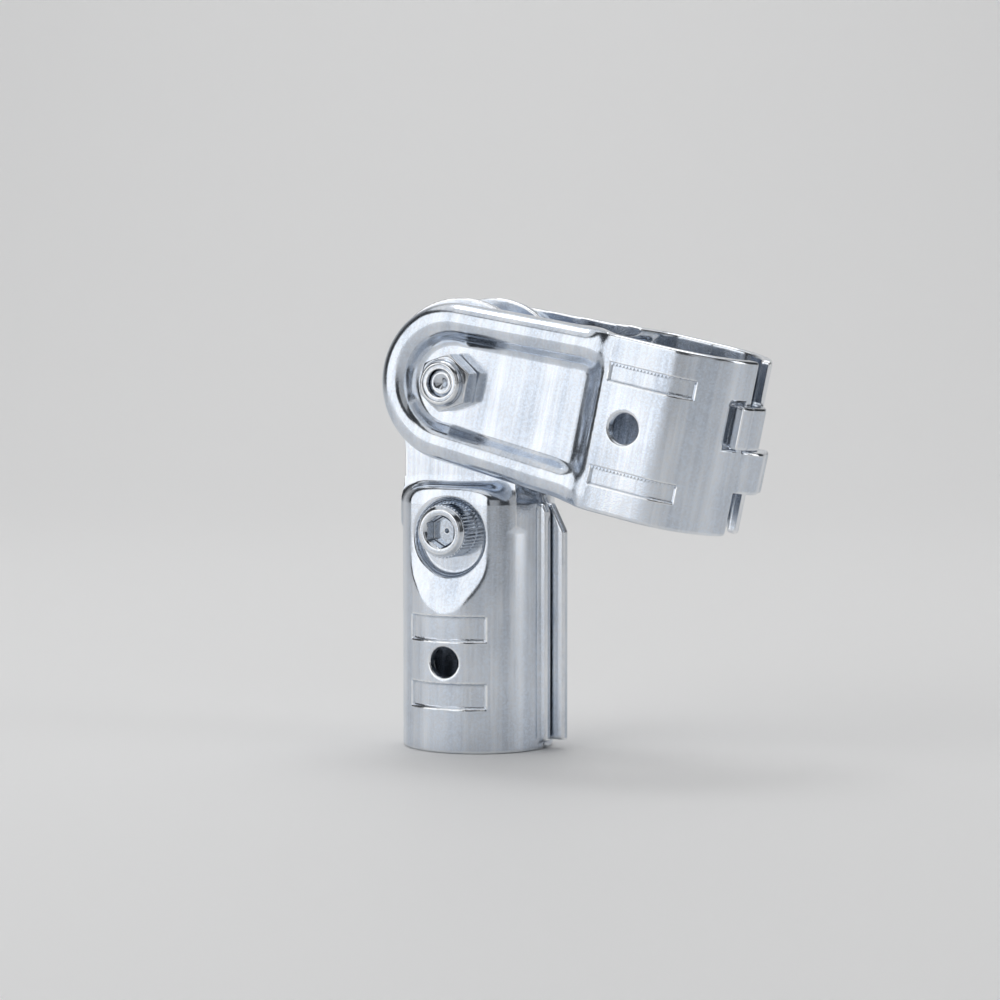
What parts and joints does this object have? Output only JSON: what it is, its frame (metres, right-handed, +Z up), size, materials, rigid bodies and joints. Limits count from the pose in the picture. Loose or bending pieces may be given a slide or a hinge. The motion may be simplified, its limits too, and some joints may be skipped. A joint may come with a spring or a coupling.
{
  "type": "swivel tube connector",
  "caption": "Pressed-steel swivel connector for round tubes: a split end socket hinged on a bolt to a hook clamp that grips a second tube at a free angle.",
  "frame": {"origin": "centre of the socket's mouth, on the socket's axis", "axes": "+Z up along the socket's axis to the swivel, +X the way the clamp arm points, -Y the front, along the swivel axis"},
  "size_m": [0.0859, 0.0369, 0.0972],
  "materials": {
    "zinc_sheet": "bright zinc plate",
    "plated_bolt": "bright zinc plate",
    "plated_nut": "bright zinc plate"
  },
  "bodies": {
    "socket": {"socket_front_half": "zinc_sheet", "socket_rear_half": "zinc_sheet", "socket_bolt": "plated_bolt", "socket_nut": "plated_nut"},
    "clamp": {"clamp_front_half": "zinc_sheet", "clamp_rear_half": "zinc_sheet", "swivel_bolt": "plated_bolt", "swivel_nut": "plated_nut"}
  },
  "joints": [
    {"name": "swivel", "type": "hinge", "parent": "socket", "child": "clamp", "pos_m": [0, 0, 0.079], "axis": [0, 1, 0], "range_deg": [-208, 4]}
  ]
}
